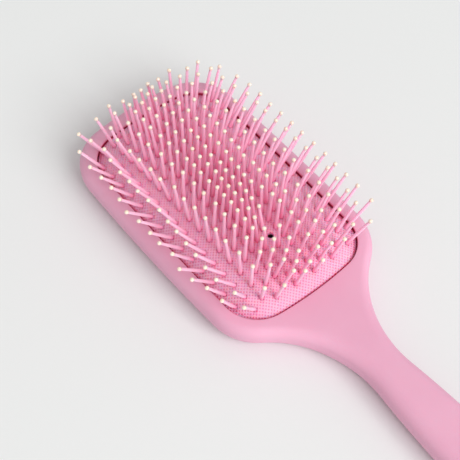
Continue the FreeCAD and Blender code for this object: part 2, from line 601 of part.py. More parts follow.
os.makedirs("parts", exist_ok=True)
for obj in parts:
    obj.Shape.exportStep(os.path.join("parts", obj.Label + ".step"))
    box = obj.Shape.BoundBox
    print("%-14s solids %3d  volume %9.1f  x %7.2f %7.2f  y %7.2f %7.2f  z %6.2f %6.2f"
          % (obj.Label, len(obj.Shape.Solids), obj.Shape.Volume, box.XMin, box.XMax, box.YMin, box.YMax,
             box.ZMin, box.ZMax))
print("pins:", len(PINS))
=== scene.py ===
import math

import bpy
import numpy as np
from mathutils import Matrix, Vector
from mathutils.geometry import delaunay_2d_cdt


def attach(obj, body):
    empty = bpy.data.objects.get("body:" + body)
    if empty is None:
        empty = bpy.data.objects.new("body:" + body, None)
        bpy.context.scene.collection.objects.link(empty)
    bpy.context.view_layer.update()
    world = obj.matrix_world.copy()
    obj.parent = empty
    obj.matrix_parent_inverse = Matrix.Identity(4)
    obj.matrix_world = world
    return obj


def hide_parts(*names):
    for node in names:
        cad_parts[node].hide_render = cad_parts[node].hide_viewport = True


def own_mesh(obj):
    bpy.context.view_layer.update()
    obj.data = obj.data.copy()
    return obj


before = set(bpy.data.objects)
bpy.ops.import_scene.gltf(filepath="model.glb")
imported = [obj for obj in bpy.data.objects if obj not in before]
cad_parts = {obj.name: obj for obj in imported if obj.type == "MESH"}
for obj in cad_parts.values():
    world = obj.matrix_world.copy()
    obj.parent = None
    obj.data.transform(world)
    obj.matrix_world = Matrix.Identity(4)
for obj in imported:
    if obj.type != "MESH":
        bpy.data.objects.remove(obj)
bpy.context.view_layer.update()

SC = bpy.context.scene

# Lengths below are in millimetres. x and y are counted from the middle of the
# pad (+x towards the grip), z from the surface that the brush lies on. PAD_X
# brings them into the row frame.
PAD_X = -57.6
SPLIT_Z, TOP_Z, ROOF_Z, FLOOR_Z = 10.5, 15.2, 12.4, 3.0
HANG_X, HANG_R = 171.0, 3.0
PAD_A, PAD_B, PAD_EDGE, RISE = 58.4, 33.0, 14.0, 6.4
POW_X, POW_Y = 4.66, 4.35
SKIN, MOUTH_GAP, WALL = 1.6, 0.6, 2.6
CELL = 1.17  # pitch of the pad's mesh


# ----------------------------------------------------------------- outlines
def circles_meet(c1, r1, c2, r2, pick):
    dx, dy = c2[0] - c1[0], c2[1] - c1[1]
    dist = math.hypot(dx, dy)
    along = (r1 * r1 - r2 * r2 + dist * dist) / (2.0 * dist)
    off = math.sqrt(max(r1 * r1 - along * along, 0.0))
    ux, uy = dx / dist, dy / dist
    return pick([(c1[0] + along * ux - s * off * uy, c1[1] + along * uy + s * off * ux) for s in (1, -1)])


def touch(centre, other, radius, inner=True):
    dx, dy = centre[0] - other[0], centre[1] - other[1]
    dist = math.hypot(dx, dy)
    sign = 1.0 if inner else -1.0
    return (centre[0] + sign * radius * dx / dist, centre[1] + sign * radius * dy / dist)


def body_arcs(o=0.0, cut_x=None):
    """Upper half of the body's outline moved inwards by o: a chain of arcs."""
    head_end, tail = 67.5 - o, 182.7 - o
    r1, r2, r3, r4, r5, r6 = 148.0 - o, 22.0 - o, 1200.0 - o, 24.0 - o, 50.0 + o, 500.0 - o
    c1, c3, c5 = (-head_end + r1, 0.0), (0.0, 40.65 - 1200.0), (101.3, 8.45 + 50.0)
    c2 = circles_meet(c1, r1 - r2, c3, r3 - r2, lambda b: max(b, key=lambda q: q[1] - q[0]))
    c4 = circles_meet(c3, r3 - r4, c5, r4 + r5, lambda b: max(b, key=lambda q: q[1]))
    c6 = (158.0, c5[1] - math.sqrt((r5 + r6) ** 2 - (158.0 - c5[0]) ** 2))
    cs, rs = [c1, c2, c3, c4, c5, c6], [r1, r2, r3, r4, r5, r6]
    js = [(-head_end, 0.0), touch(c2, c1, r2), touch(c2, c3, r2), touch(c4, c3, r4),
          touch(c4, c5, r4, False), touch(c5, c6, r5, False)]
    if cut_x is None:
        c7x = (c6[0] ** 2 + c6[1] ** 2 - (r6 - tail) ** 2) / (2.0 * (r6 - tail + c6[0]))
        cs.append((c7x, 0.0))
        rs.append(tail - c7x)
        js += [touch((c7x, 0.0), c6, tail - c7x), (tail, 0.0)]
    else:
        js.append((cut_x, c6[1] + math.sqrt(r6 ** 2 - (cut_x - c6[0]) ** 2)))
    return cs, rs, js


def pad_arcs(o=0.0):
    """Upper half of the pad's outline moved outwards by o."""
    a = PAD_A + o
    r1, r2, r3 = 170.0 + o, 16.0 + o, 2000.0 + o
    c1, c3, c5 = (-a + r1, 0.0), (0.0, PAD_B - 2000.0), (a - r1, 0.0)
    c2 = circles_meet(c1, r1 - r2, c3, r3 - r2, lambda b: max(b, key=lambda q: q[1] - q[0]))
    t1, t2 = touch(c2, c1, r2), touch(c2, c3, r2)
    js = [(-a, 0.0), t1, t2, (-t2[0], t2[1]), (-t1[0], t1[1]), (a, 0.0)]
    return [c1, c2, c3, (-c2[0], c2[1]), c5], [r1, r2, r3, r2, r1], js


def outline(arcs, step=2.4, turn=4.0):
    """Closed loop of points with their inward normals, anticlockwise."""
    cs, rs, js = arcs
    pts, nrm = [], []
    for c, r, a, b in zip(cs, rs, js[:-1], js[1:]):
        a0, a1 = math.atan2(a[1] - c[1], a[0] - c[0]), math.atan2(b[1] - c[1], b[0] - c[0])
        sweep = abs(a1 - a0)
        n = max(2, int(math.ceil(max(sweep * r / step, math.degrees(sweep) / turn))))
        concave = c[1] > max(a[1], b[1])
        for i in range(n):
            t = a0 + (a1 - a0) * i / n
            pts.append((c[0] + r * math.cos(t), c[1] + r * math.sin(t)))
            s = 1.0 if concave else -1.0
            nrm.append((s * math.cos(t), s * math.sin(t)))
    pts.append(js[-1])
    if abs(js[-1][1]) < 1e-9:
        nrm.append((-1.0, 0.0))
        low = range(len(pts) - 2, 0, -1)
    else:  # square cut: carry on down the cut
        nrm.append((-1.0, 0.0))
        low = range(len(pts) - 1, 0, -1)
    up = list(zip(pts, nrm))
    lo = [((pts[i][0], -pts[i][1]), (nrm[i][0], -nrm[i][1])) for i in low]
    loop = up + lo
    loop.reverse()
    return np.array([q[0] for q in loop], float), np.array([q[1] for q in loop], float)


def pad_loops(step=1.6, turn=4.0):
    """A function that gives the pad's outline moved outwards by any amount,
    always with the same number of points."""
    p, q = outline(pad_arcs(0.0), step, turn)
    return lambda o: p - q * o


def circle(cx, cy, r, n):
    t = np.linspace(0, 2 * math.pi, n, endpoint=False)
    return np.stack([cx + r * np.cos(t), cy + r * np.sin(t)], 1)


def inside(poly, q):
    """Which points q lie inside the polygon."""
    x, y = q[:, 0][:, None], q[:, 1][:, None]
    x0, y0 = poly[:, 0][None], poly[:, 1][None]
    x1, y1 = np.roll(poly[:, 0], -1)[None], np.roll(poly[:, 1], -1)[None]
    cross = (y0 > y) != (y1 > y)
    with np.errstate(divide="ignore", invalid="ignore"):
        xi = x0 + (y - y0) * (x1 - x0) / (y1 - y0)
    return (np.sum(cross & (x < xi), axis=1) % 2) == 1


def smooth(t):
    t = np.clip(t, 0.0, 1.0)
    return t * t * (3 - 2 * t)


# ----------------------------------------------------------------- mesh maker
class Solid:
    """Collects points and faces of one closed piece, in millimetres."""

    def __init__(self):
        self.v, self.f, self.count = [], [], 0

    def points(self, xyz):
        xyz = np.asarray(xyz, float)
        first = self.count
        self.v.append(xyz)
        self.count += len(xyz)
        return np.arange(first, first + len(xyz))

    def loop(self, xy, z):
        z = np.broadcast_to(np.asarray(z, float), (len(xy),))
        return self.points(np.column_stack([xy, z]))

    def band(self, a, b, flip=False):
        """Quads between two loops of the same number of points."""
        a, b = (b, a) if flip else (a, b)
        n = len(a)
        for i in range(n):
            j = (i + 1) % n
            self.f.append((int(a[i]), int(a[j]), int(b[j]), int(b[i])))

    def fill(self, outer, holes=(), extra=None, up=True, height=None):
        """Flat fill between index loops, with extra inner points if given."""
        allv = np.concatenate(self.v)
        loops = [np.asarray(outer)] + [np.asarray(h) for h in holes]
        idx = list(np.concatenate(loops))
        xy = [allv[i][:2] for i in idx]
        edges, first = [], 0
        for lp in loops:
            n = len(lp)
            edges += [(first + i, first + (i + 1) % n) for i in range(n)]
            first += n
        if extra is not None:
            new = self.points(extra)
            idx += list(new)
            xy += [e[:2] for e in extra]
        out, _, faces, orig, _, _ = delaunay_2d_cdt([Vector((float(q[0]), float(q[1]))) for q in xy], edges, [], 0, 1e-5)
        back = [o[0] if o else -1 for o in orig]
        tri = np.array([f for f in faces if all(back[i] >= 0 for i in f)], int)
        cen = np.array([[(out[f[0]][k] + out[f[1]][k] + out[f[2]][k]) / 3 for k in (0, 1)] for f in tri])
        ok = inside(allv[loops[0]][:, :2], cen)
        for h in loops[1:]:
            ok &= ~inside(allv[h][:, :2], cen)
        for f, keep in zip(tri, ok):
            if not keep:
                continue
            a, b, c = (out[i] for i in f)
            ccw = (b[0] - a[0]) * (c[1] - a[1]) - (b[1] - a[1]) * (c[0] - a[0]) > 0
            t = tuple(int(idx[back[i]]) for i in f)
            self.f.append(t if ccw == up else t[::-1])

    def build(self, name, material, sharp=32.0):
        v = np.concatenate(self.v)
        used = np.zeros(len(v), bool)
        for f in self.f:
            used[list(f)] = True
        renum = np.cumsum(used) - 1
        v = v[used]
        v = np.column_stack([v[:, 0] + PAD_X, v[:, 1], v[:, 2]]) / 1000.0
        mesh = bpy.data.meshes.new(name)
        mesh.from_pydata([tuple(p) for p in v], [], [tuple(int(renum[i]) for i in f) for f in self.f])
        mesh.validate()
        mesh.polygons.foreach_set("use_smooth", [True] * len(mesh.polygons))
        mesh.set_sharp_from_angle(angle=math.radians(sharp))
        mesh.materials.append(material)
        mesh.update()
        obj = bpy.data.objects.new(name, mesh)
        SC.collection.objects.link(obj)
        return obj


# ----------------------------------------------------------------- materials
def lin(r, g, b):
    """A colour given in 0..255 display values, as linear values."""
    return tuple(((c / 255 + 0.055) / 1.055) ** 2.4 if c > 10 else c / 255 / 12.92 for c in (r, g, b)) + (1.0,)


class Nodes:
    def __init__(self, name):
        self.mat = bpy.data.materials.new(name)
        self.mat.use_nodes = True
        self.t = self.mat.node_tree
        self.t.nodes.clear()
        self.out = self.t.nodes.new("ShaderNodeOutputMaterial")
        self.bsdf = self.t.nodes.new("ShaderNodeBsdfPrincipled")
        self.t.links.new(self.bsdf.outputs[0], self.out.inputs[0])

    def new(self, kind, **props):
        n = self.t.nodes.new(kind)
        for k, v in props.items():
            setattr(n, k, v)
        return n

    def link(self, a, b):
        self.t.links.new(a, b)

    def put(self, socket, value):
        if isinstance(value, (int, float, tuple, list, Vector)):
            socket.default_value = value
        else:
            self.link(value, socket)

    def math(self, op, a, b=0.0, c=None):
        n = self.new("ShaderNodeMath", operation=op)
        self.put(n.inputs[0], a)
        self.put(n.inputs[1], b)
        if c is not None:
            self.put(n.inputs[2], c)
        return n.outputs[0]

    def where(self):
        return self.new("ShaderNodeTexCoord").outputs["Object"]

    def noise(self, scale, detail=3.0, rough=0.55, vector=None):
        n = self.new("ShaderNodeTexNoise")
        n.inputs["Scale"].default_value = scale
        n.inputs["Detail"].default_value = detail
        n.inputs["Roughness"].default_value = rough
        self.link(vector if vector is not None else self.where(), n.inputs["Vector"])
        return n.outputs[0]

    def ramp(self, fac, stops):
        n = self.new("ShaderNodeValToRGB")
        self.put(n.inputs[0], fac)
        el = n.color_ramp.elements
        while len(el) < len(stops):
            el.new(0.5)
        for e, (p, c) in zip(el, stops):
            e.position = p
            e.color = c
        return n.outputs[0]

    def mix(self, fac, a, b):
        n = self.new("ShaderNodeMix", data_type="RGBA")
        self.put(n.inputs[0], fac)
        self.put(n.inputs[6], a)
        self.put(n.inputs[7], b)
        return n.outputs[2]

    def span(self, value, lo, hi, a=0.0, b=1.0):
        n = self.new("ShaderNodeMapRange")
        self.put(n.inputs[0], value)
        for k, x in zip((1, 2, 3, 4), (lo, hi, a, b)):
            n.inputs[k].default_value = x
        return n.outputs[0]

    def bump(self, height, distance, strength=1.0, normal=None):
        n = self.new("ShaderNodeBump")
        n.inputs["Strength"].default_value = strength
        n.inputs["Distance"].default_value = distance
        self.link(height, n.inputs["Height"])
        if normal is not None:
            self.link(normal, n.inputs["Normal"])
        return n.outputs[0]

    def shade_mask(self, reach, lo, hi):
        """Mask for painted shade, from ambient occlusion: 0 in the open, 1 where neighbours close within reach shut
        the light out.
        """
        n = self.new("ShaderNodeAmbientOcclusion", samples=6)
        n.inputs["Distance"].default_value = reach
        return self.span(n.outputs["AO"], lo, hi, 1.0, 0.0)

    def set(self, **values):
        for k, v in values.items():
            self.put(self.bsdf.inputs[k.replace("_", " ")], v)
        return self.mat


def soft_touch(name, tint=(1.0, 1.0, 1.0)):
    """Moulded plastic under a matt soft-touch coat: even pink, faint cloudiness
    of the spray, very fine grain, roughness that varies a little from place to place."""
    m = Nodes(name)
    cloud = m.noise(22.0, 4.0, 0.6)
    fine = m.noise(2600.0, 2.0, 0.5)
    a, b = lin(234, 179, 203), lin(238, 185, 208)
    col = m.mix(m.span(cloud, 0.3, 0.7), tuple(x * t for x, t in zip(a, tint + (1.0,))),
                tuple(x * t for x, t in zip(b, tint + (1.0,))))
    rough = m.math("ADD", m.span(m.noise(35.0, 3.0), 0.3, 0.7, 0.50, 0.58), m.span(fine, 0.2, 0.8, -0.03, 0.03))
    grain = m.bump(fine, 0.00002, 0.35)
    swell = m.bump(m.noise(60.0, 2.0, 0.4), 0.00005, 0.25, grain)
    return m.set(Base_Color=col, Roughness=rough, Normal=swell, Specular_IOR_Level=0.12,
                 Sheen_Weight=0.02, Sheen_Roughness=0.45, Sheen_Tint=(1.0, 0.86, 0.92, 1.0),
                 Subsurface_Weight=0.10, Subsurface_Radius=(1.0, 0.45, 0.55), Subsurface_Scale=0.0012)


def pad_material():
    """Rubber skin with a pressed-in square mesh, laid at 45 degrees."""
    m = Nodes("cushion_rubber_mesh")
    mp = m.new("ShaderNodeMapping")
    mp.inputs["Location"].default_value = (0.0, 0.0, 0.0)
    mp.inputs["Scale"].default_value = (1000.0 / CELL,) * 3
    shift = m.new("ShaderNodeVectorMath", operation="ADD")
    m.link(m.where(), shift.inputs[0])
    shift.inputs[1].default_value = (-PAD_X / 1000.0, 0.0, 0.0)
    turn = m.new("ShaderNodeVectorRotate", rotation_type="Z_AXIS")
    turn.inputs["Angle"].default_value = math.radians(45.0)
    m.link(shift.outputs[0], turn.inputs["Vector"])
    m.link(turn.outputs[0], mp.inputs["Vector"])
    sep = m.new("ShaderNodeSeparateXYZ")
    m.link(mp.outputs[0], sep.inputs[0])
    waves = []
    for k in (0, 1):
        w = m.math("COSINE", m.math("MULTIPLY", sep.outputs[k], 2 * math.pi))
        waves.append(m.math("MULTIPLY_ADD", w, 0.5, 0.5))
    pit = m.math("MULTIPLY", *waves)  # 1 in the middle of a pit
    # threads: a fine twist along each ridge
    weave = m.math("MULTIPLY", m.math("SINE", m.math("MULTIPLY", m.math("ADD", sep.outputs[0], sep.outputs[1]), 6 * math.pi)), 0.5)
    cloud = m.noise(30.0, 3.0)
    thread = m.mix(m.span(cloud, 0.3, 0.7), lin(250, 196, 219), lin(252, 202, 224))
    deep = m.mix(m.span(cloud, 0.3, 0.7), lin(241, 160, 194), lin(244, 166, 199))
    mask = m.span(pit, 0.18, 0.60)
    # painted shade: where the AO mask finds the rubber sheltered between the pins, it is coloured a deeper hot pink
    shaded_pink = m.mix(mask, lin(253, 146, 184), lin(224, 42, 104))
    col = m.mix(m.shade_mask(0.0065, 0.36, 0.84), m.mix(mask, thread, deep), shaded_pink)
    height = m.math("SUBTRACT", m.math("MULTIPLY", weave, 0.08), mask)
    nrm = m.bump(height, 0.00012, 0.6)
    rough = m.span(mask, 0.0, 1.0, 0.56, 0.72)
    return m.set(Base_Color=col, Roughness=rough, Normal=nrm, Specular_IOR_Level=0.25,
                 Sheen_Weight=0.03, Sheen_Tint=(1.0, 0.8, 0.88, 1.0),
                 Subsurface_Weight=0.7, Subsurface_Radius=(1.0, 0.12, 0.18), Subsurface_Scale=0.0018)


def pin_material():
    """Moulded nylon: milky pink that lets some light through."""
    m = Nodes("pin_nylon")
    cloud = m.noise(180.0, 2.0)
    col = m.mix(m.span(cloud, 0.3, 0.7), lin(254, 200, 221), lin(255, 207, 226))
    # painted shade: the pins are coloured a deeper pink where the AO mask finds them sheltered, most towards their
    # roots
    col = m.mix(m.shade_mask(0.0050, 0.36, 0.94), col, lin(254, 148, 188))
    nrm = m.bump(m.noise(900.0, 2.0), 0.00002, 0.3)
    return m.set(Base_Color=col, Roughness=m.span(cloud, 0.2, 0.8, 0.42, 0.52), Normal=nrm,
                 Subsurface_Weight=0.7, Subsurface_Radius=(0.5, 0.38, 0.40), Subsurface_Scale=0.0030,
                 Specular_IOR_Level=0.25, IOR=1.53)


def tip_material():
    """Drop of cured resin: ivory, glossy, a little see-through at the rim."""
    m = Nodes("ivory_resin")
    cloud = m.noise(420.0, 2.0)
    col = m.mix(m.span(cloud, 0.3, 0.7), lin(252, 229, 212), lin(255, 238, 224))
    return m.set(Base_Color=col, Roughness=m.span(cloud, 0.2, 0.8, 0.16, 0.24), Subsurface_Weight=0.5,
                 Subsurface_Radius=(1.0, 0.75, 0.65), Subsurface_Scale=0.0012, Specular_IOR_Level=0.55, IOR=1.5,
                 Coat_Weight=0.25, Coat_Roughness=0.12)


def inner_material():
    m = Nodes("inner_moulding")
    cloud = m.noise(90.0, 3.0)
    col = m.mix(m.span(cloud, 0.3, 0.7), lin(205, 120, 150), lin(212, 128, 157))
    return m.set(Base_Color=col, Roughness=m.span(cloud, 0.2, 0.8, 0.45, 0.6),
                 Normal=m.bump(m.noise(1500.0, 2.0), 0.00002, 0.3))


def floor_material():
    m = Nodes("pale_floor")
    col = m.mix(m.span(m.noise(3.0, 3.0), 0.3, 0.7), (0.842, 0.860, 0.860, 1), (0.850, 0.868, 0.868, 1))
    grain = m.bump(m.noise(900.0, 3.0, 0.6), 0.00008, 0.25)
    return m.set(Base_Color=col, Roughness=0.85, Normal=grain, Specular_IOR_Level=0.2)


def gap_shade_material():
    # painted shade: a dark red that stands in for the shade in the narrow gap round the pad
    m = Nodes("painted_gap_shade")
    col = m.mix(m.span(m.noise(60.0, 3.0), 0.3, 0.7), lin(196, 70, 106), lin(206, 78, 114))
    return m.set(Base_Color=col, Roughness=0.6, Specular_IOR_Level=0.2)


MAT_FRONT = soft_touch("soft_touch_pink")
MAT_GAP_SHADE = gap_shade_material()
MAT_PAD = pad_material()
MAT_PIN = pin_material()
MAT_TIP = tip_material()
MAT_INNER = inner_material()


# ----------------------------------------------------------------- the body
def edge_round(x, head, shoulder, grip):
    """How far in the rounding of the edge reaches, along the brush."""
    x = np.asarray(x, float)
    r = head + (shoulder - head) * smooth((x - 20.0) / 26.0)
    return r + (grip - shoulder) * smooth((x - 62.0) / 26.0)


def rounded_loops(solid, pts, nrm, reach, z_from, z_to, power, steps):
    """Loops of the rounded edge from the widest place to the flat face."""
    rings, h = [], z_to - z_from
    for k in range(steps + 1):
        phi = 0.5 * math.pi * k / steps
        w = reach * (1.0 - math.cos(phi) ** (2.0 / power)) if k < steps else reach
        z = z_from + h * math.sin(phi) ** (2.0 / power)
        rings.append(solid.loop(pts + nrm * np.asarray(w)[:, None], z))
    return rings


def hole_rings(solid, levels, n=40):
    return [solid.loop(circle(HANG_X, 0.0, r, n), z) for r, z in levels]


pts, nrm = outline(body_arcs())
hollow, _ = outline(body_arcs(WALL, 158.0))

# front: from the widest line up to the face, in to the mouth, and back inside
s = Solid()
rings = rounded_loops(s, pts, nrm, edge_round(pts[:, 0], 6.2, 3.7, 6.4), SPLIT_Z, TOP_Z, 2.25, 14)
for a, b in zip(rings[:-1], rings[1:]):
    s.band(a, b)
lip = []
mouth = pad_loops()
for r_out, z in ((0.45, TOP_Z), (0.27, TOP_Z - 0.035), (0.13, TOP_Z - 0.13), (0.035, TOP_Z - 0.27), (0.0, TOP_Z - 0.45), (0.0, TOP_Z - 0.85), (0.0, ROOF_Z)):
    lip.append(s.loop(mouth(MOUTH_GAP + r_out), z))
hang = hole_rings(s, ((HANG_R + 0.5, TOP_Z), (HANG_R + 0.28, TOP_Z - 0.05), (HANG_R + 0.05, TOP_Z - 0.28), (HANG_R, TOP_Z - 0.5), (HANG_R, SPLIT_Z)))
s.fill(rings[-1], [lip[0], hang[0]])
for a, b in zip(lip[:-1], lip[1:]):
    s.band(a, b)
for a, b in zip(hang[:-1], hang[1:]):
    s.band(a, b)
roof, brim = s.loop(hollow, ROOF_Z), s.loop(hollow, SPLIT_Z)
s.fill(roof, [lip[-1]], up=False)
s.band(roof, brim)
s.fill(rings[0], [brim, hang[-1]], up=False)
front = s.build("body_front", MAT_FRONT)
# painted shade: below the face, the wall of the mouth gets a dark red that stands in for the shade in the gap
front.data.materials.append(MAT_GAP_SHADE)
edge_line = mouth(MOUTH_GAP + 0.06)
for face in front.data.polygons:
    q = np.array([[face.center[0] * 1000.0 - PAD_X, face.center[1] * 1000.0]])
    if face.center[2] * 1000.0 < TOP_Z - 0.9 and inside(edge_line, q)[0]:
        face.material_index = 1

# back: from the widest line down to the flat back, and the hollow inside
s = Solid()
rings = rounded_loops(s, pts, nrm, edge_round(pts[:, 0], 9.2, 10.5, 5.4), SPLIT_Z, 0.0, 2.25, 16)
for a, b in zip(rings[:-1], rings[1:]):
    s.band(a, b, flip=True)
hang = hole_rings(s, ((HANG_R + 0.5, 0.0), (HANG_R + 0.28, 0.05), (HANG_R + 0.05, 0.28), (HANG_R, 0.5), (HANG_R, SPLIT_Z)))
s.fill(rings[-1], [hang[0]], up=False)
for a, b in zip(hang[:-1], hang[1:]):
    s.band(a, b, flip=True)
low = []
in_pts, in_nrm = outline(body_arcs(WALL, 158.0))
for o, z in ((0.0, SPLIT_Z), (0.0, FLOOR_Z + 1.4), (0.11, FLOOR_Z + 0.86), (0.41, FLOOR_Z + 0.41), (0.86, FLOOR_Z + 0.11), (1.4, FLOOR_Z)):
    low.append(s.loop(in_pts + in_nrm * o, z))
for a, b in zip(low[:-1], low[1:]):
    s.band(a, b)
s.fill(rings[0], [low[0], hang[-1]])
s.fill(low[-1])
back = s.build("body_back", MAT_FRONT)

for piece, node in ((front, "front_shell"), (back, "back_shell")):
    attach(piece, "brush_body")
    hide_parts(node)


# ----------------------------------------------------------------- pins' places
def dome(x, y):
    return PAD_EDGE + RISE * (1.0 - (np.abs(x) / PAD_A) ** POW_X - (np.abs(y) / PAD_B) ** POW_Y)


# how far each pin leans along and across the head, in hundredths of its height
LEANS = [
    [(-28, -56), (-7, -68), (0, -66), (1, -65), (-1, -73), (-5, -88), (-3, -76), (1, -75), (-4, -76), (1, -68),
     (-1, -88), (1, -79), (2, -59), (9, -50)],
    [(-41, -57), (-27, -47), (-11, -38), (-12, -48), (-4, -53), (-5, -52), (-7, -54), (-6, -50), (-3, -46),
     (-3, -51), (-6, -53), (-4, -57), (-3, -60), (-1, -65), (2, -65), (20, -49), (22, -55)],
    [(-40, -22), (-18, -16), (-13, -28), (-2, -26), (-4, -25), (-2, -21), (-3, -21), (-1, -9), (1, -13),
     (-2, -9), (-2, -8), (-1, -9), (-2, -11), (3, -6), (10, -4), (28, -16)],
    [(-35, 0), (-38, -8), (-19, -5), (-8, -8), (-6, -10), (-1, -4), (1, -3), (-1, 2), (2, 3), (0, 3), (2, 6),
     (0, 3), (1, 1), (4, 2), (13, 3), (13, 1), (31, -4)],
    [(-34, 5), (-39, 8), (-33, 3), (-23, 0), (-18, -3), (-8, -1), (-4, 1), (1, 0), (4, 5), (2, 7), (1, 5),
     (5, 5), (3, 9), (2, 7), (0, 7), (-1, 4), (0, 2), (2, 0), (9, -1), (18, 0), (23, 6), (29, 7)],
    [(-22, 11), (-39, 6), (-36, 5), (-33, 5), (-27, 3), (-16, 5), (-9, 5), (-2, 4), (2, 5), (4, 4), (5, 5),
     (6, 6), (3, 3), (2, 2), (-1, 1), (-4, 1), (-4, -2), (-4, -7), (5, -9), (12, -9), (23, -5), (29, -3),
     (30, -1)],
    [(-35, 3), (-37, 6), (-36, 9), (-30, 11), (-20, 10), (-14, 12), (-2, 8), (-3, 8), (3, 4), (4, -2), (7, 2),
     (5, -3), (3, -3), (1, -2), (-3, -4), (-7, -7), (-7, -8), (0, 0), (7, -5), (17, -8), (27, -12), (34, -7)],
    [(-29, 1), (-38, 0), (-36, 8), (-32, 11), (-25, 13), (-17, 15), (-10, 13), (-7, 12), (-3, 6), (0, 6),
     (4, 4), (1, -1), (2, -3), (0, -7), (-3, -6), (-3, 3), (0, 10), (-3, 11), (10, 11), (12, 7), (22, 4),
     (31, 3), (34, -9)],
    [(-37, 1), (-39, 8), (-29, 15), (-26, 21), (-22, 21), (-14, 25), (-10, 16), (-7, 13), (-4, 12), (-1, 7),
     (0, 6), (-2, 0), (1, 4), (-2, 1), (-6, 4), (-1, 5), (-1, 9), (6, 14), (13, 14), (19, 12), (23, 8),
     (28, 6)],
    [(-33, 16), (-28, 18), (-22, 23), (-14, 30), (-9, 33), (-10, 31), (-3, 35), (-4, 21), (-3, 18), (-2, 14),
     (-2, 11), (-2, 15), (4, 16), (6, 16), (15, 13), (24, 13), (25, 10)],
    [(-23, 26), (-22, 31), (-11, 38), (-10, 43), (-4, 45), (-9, 46), (-4, 44), (0, 41), (-2, 40), (-2, 37),
     (-2, 33), (4, 41), (8, 37), (9, 30), (17, 23), (26, 25)],
    [(-32, 43), (-23, 52), (-10, 50), (-4, 57), (-8, 82), (-6, 80), (-9, 77), (-4, 76), (-8, 83), (-6, 77),
     (-5, 79), (-2, 79), (0, 81), (2, 71), (8, 63), (10, 50), (32, 47)],
    [(-23, 52), (-6, 73), (-8, 93), (-5, 93), (1, 83), (-3, 93), (-2, 93), (-2, 90), (1, 93), (4, 93), (4, 84),
     (4, 83), (4, 84), (17, 85)],
]
ZONE_LIMITS = [0.95, 0.85, 0.70, 0.50, 0.28, 0.10, -9.0]
ROW_KINDS = {0: (14, 6.95, 1.15), 1: (17, 6.42, 1.2), 2: (16, 6.70, 1.7), 3: (17, 6.67, 1.6),
             4: (22, 4.87, 1.45), 5: (23, 4.86, 1.3), 6: (22, 4.87, 1.45)}  # count, distance, shift
PINS = []
for row in range(13):
    count, pitch, shift = ROW_KINDS[min(row, 12 - row)]
    y = (row - 6) * 5.02
    for number in range(count):
        if row == 6 and number == 17:
            continue  # the air vent takes this place
        x = (number - 0.5 * (count - 1)) * pitch - shift
        lx, ly = (0.01 * part for part in LEANS[row][number])
        d = np.array([lx, ly, 1.0]) / math.sqrt(lx * lx + ly * ly + 1.0)
        z = float(dome(x, y))
        sink = (z - PAD_EDGE) / RISE
        zone = next(k for k, lim in enumerate(ZONE_LIMITS, 1) if sink >= lim)
        PINS.append({"row": row, "k": number, "foot": np.array([x, y, z]), "way": d, "zone": zone})
VENT_X, VENT_Y, VENT_R = 29.4, 0.8, 1.4
DIMPLE = 0.22  # how far the rubber is drawn in round each pin


# ----------------------------------------------------------------- air cushion
def pit_depth(x, y):
    a = (x + y) / math.sqrt(2) / CELL
    b = (y - x) / math.sqrt(2) / CELL
    return (0.5 + 0.5 * np.cos(2 * math.pi * a)) * (0.5 + 0.5 * np.cos(2 * math.pi * b))


def hole_loop(pin, r, drop, n):
    """Where a tube of radius r round a pin meets the dome lowered by drop."""
    d = pin["way"]
    e1 = np.cross(d, [0.0, 1.0, 0.0])
    e1 /= np.linalg.norm(e1)
    e2 = np.cross(d, e1)
    t = np.linspace(0, 2 * math.pi, n, endpoint=False)
    p = pin["foot"][None] + r * (np.cos(t)[:, None] * e1[None] + np.sin(t)[:, None] * e2[None])
    for _ in range(4):
        p = p + ((dome(p[:, 0], p[:, 1]) - drop - p[:, 2]) / d[2])[:, None] * d[None]
    if np.cross(p[1, :2] - p[0, :2], p[2, :2] - p[1, :2]) < 0:
        p = p[::-1]
    return p


def pad_edge_distance(q, loop):
    out = np.full(len(q), 1e9)
    for k in range(0, len(q), 2000):
        part = q[k:k + 2000]
        out[k:k + 2000] = np.sqrt(((part[:, None] - loop[None]) ** 2).sum(-1)).min(1)
    return out


